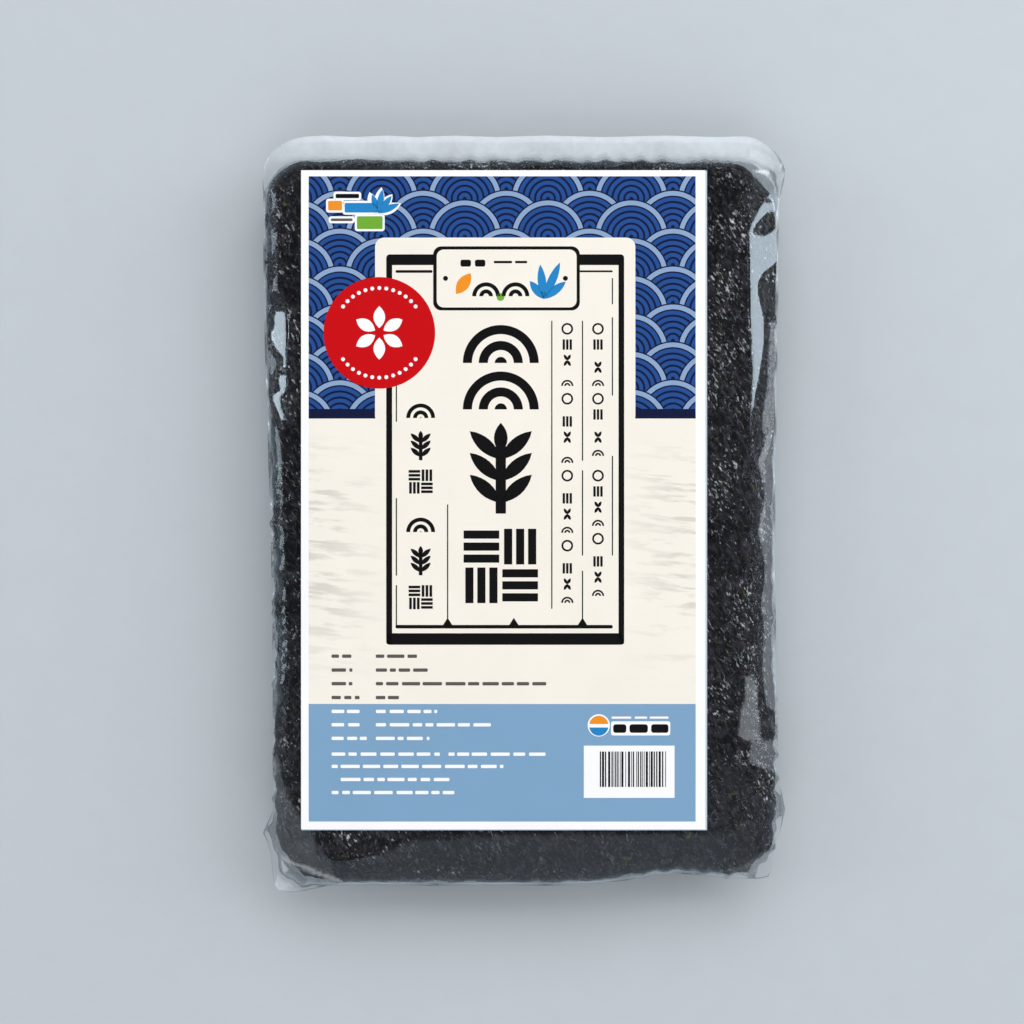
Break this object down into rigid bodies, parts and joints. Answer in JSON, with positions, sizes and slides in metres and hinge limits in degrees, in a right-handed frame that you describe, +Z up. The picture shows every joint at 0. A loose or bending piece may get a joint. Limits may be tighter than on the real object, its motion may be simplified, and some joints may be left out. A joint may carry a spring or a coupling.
{
  "type": "pack of dried nori sheets",
  "caption": "Flat sealed clear-film pack with a stack of dark dried seaweed sheets inside and a large printed paper label on its face.",
  "frame": {"origin": "middle of the pack's footprint, on the surface that it lies on", "axes": "+Z up out of the labelled face, +Y towards the label's top, +X towards the label's right"},
  "size_m": [0.2, 0.2898, 0.0324],
  "materials": {
    "film": "clear thin film, glossy, creased",
    "nori": "dried seaweed, near black, rough and fibrous with small glints",
    "label_paper": "smooth coated paper, printed in blue, cream and light blue",
    "print_ink": "flat printing ink on paper"
  },
  "bodies": {
    "root": {"film_bag": "film", "label": "label_paper"}
  },
  "joints": []
}
